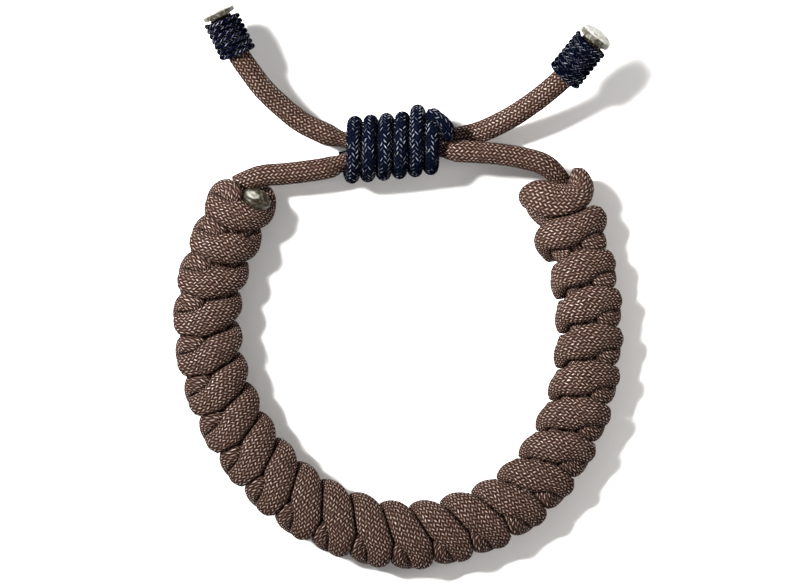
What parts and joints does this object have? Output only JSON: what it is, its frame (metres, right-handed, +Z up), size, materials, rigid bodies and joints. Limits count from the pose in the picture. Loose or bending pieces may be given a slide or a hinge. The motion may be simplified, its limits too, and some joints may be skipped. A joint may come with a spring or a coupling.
{
  "type": "rope bracelet",
  "caption": "Snake-knot sinnet of braided cord in an open ring, closed by a sliding knot on two tails with whipped, melted ends.",
  "frame": {"origin": "on the surface that the bracelet lies on, under the middle of the sinnet's bounding box", "axes": "+Z up through the wrist hole, +Y towards the sliding knot, +X towards the right arm"},
  "size_m": [0.0816, 0.1027, 0.0168],
  "materials": {
    "brown_cord": "braided nylon sheath, brown with tan flecks",
    "black_cord": "braided nylon sheath, dark navy with pale flecks",
    "melted_nylon": "melted and flattened cord end, pale olive"
  },
  "bodies": {
    "root": {"sinnet_strand_a": "brown_cord", "sinnet_strand_b": "brown_cord", "tail_left": "brown_cord", "tail_right": "brown_cord", "sliding_knot": "black_cord", "sliding_knot_end": "black_cord", "whipping_left": "black_cord", "whipping_right": "black_cord", "melted_tip_left": "melted_nylon", "melted_tip_right": "melted_nylon", "melted_stub": "melted_nylon"}
  },
  "joints": []
}
